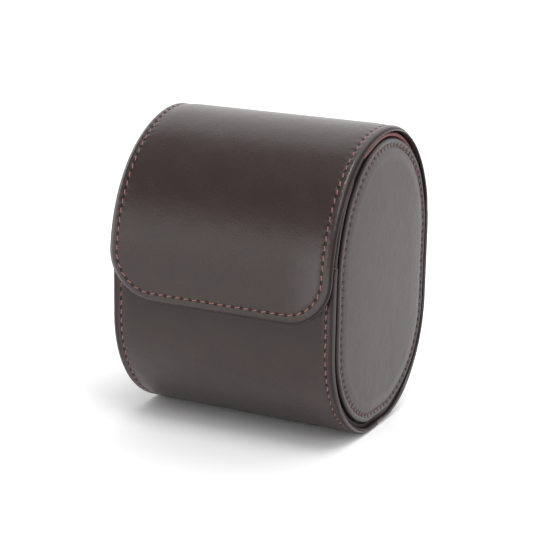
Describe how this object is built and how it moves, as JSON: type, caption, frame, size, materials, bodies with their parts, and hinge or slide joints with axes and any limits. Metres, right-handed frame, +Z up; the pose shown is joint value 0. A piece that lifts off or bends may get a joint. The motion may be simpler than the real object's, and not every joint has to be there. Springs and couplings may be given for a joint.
{
  "type": "watch display and travel case",
  "caption": "Oval leather case for one watch: a strip wall with sewn padded ends, a flap that closes over the top and front, and a lift-out pillow inside.",
  "frame": {"origin": "centre of the flat that the case stands on, under the middle of the base", "axes": "X runs along the case from end to end, -Y is the front with the flap, +Z is up"},
  "size_m": [0.0818, 0.0785, 0.1022],
  "materials": {
    "brown_leather": "smooth finished calf leather, satin",
    "grey_board": "pressed fibre board, matt",
    "suede_lining": "microfibre suede, matt",
    "welt_thread": "waxed thread whipped over a cord",
    "foam": "open foam, hidden",
    "pillow_suede": "microfibre suede over foam",
    "magnet_steel": "nickel plated disc, hidden"
  },
  "bodies": {
    "case": {"body_leather": "brown_leather", "left_end_cover": "brown_leather", "right_end_cover": "brown_leather", "body_board": "grey_board", "left_end_board": "grey_board", "right_end_board": "grey_board", "body_lining": "suede_lining", "left_end_lining": "suede_lining", "right_end_lining": "suede_lining", "left_welt": "welt_thread", "right_welt": "welt_thread", "left_end_foam": "foam", "right_end_foam": "foam", "left_body_magnet": "magnet_steel", "right_body_magnet": "magnet_steel"},
    "flap": {"flap_leather": "brown_leather", "flap_board": "grey_board", "flap_lining": "suede_lining", "left_flap_magnet": "magnet_steel", "right_flap_magnet": "magnet_steel"},
    "pillow": {"pillow_core": "foam", "pillow_sleeve": "pillow_suede", "left_pillow_end": "pillow_suede", "right_pillow_end": "pillow_suede"}
  },
  "joints": [
    {"name": "flap_hinge", "type": "hinge", "parent": "case", "child": "flap", "pos_m": [0, 0.03431, 0.07783], "axis": [-1, 0, 0], "range_deg": [0, 130]},
    {"name": "pillow_lift", "type": "slide", "parent": "case", "child": "pillow", "axis": [0, 0, 1], "range_m": [0, 0.065]}
  ],
  "couplings": [
    {"joint": "pillow_lift", "follows": "flap_hinge", "m_per_rad": 0.0286}
  ]
}
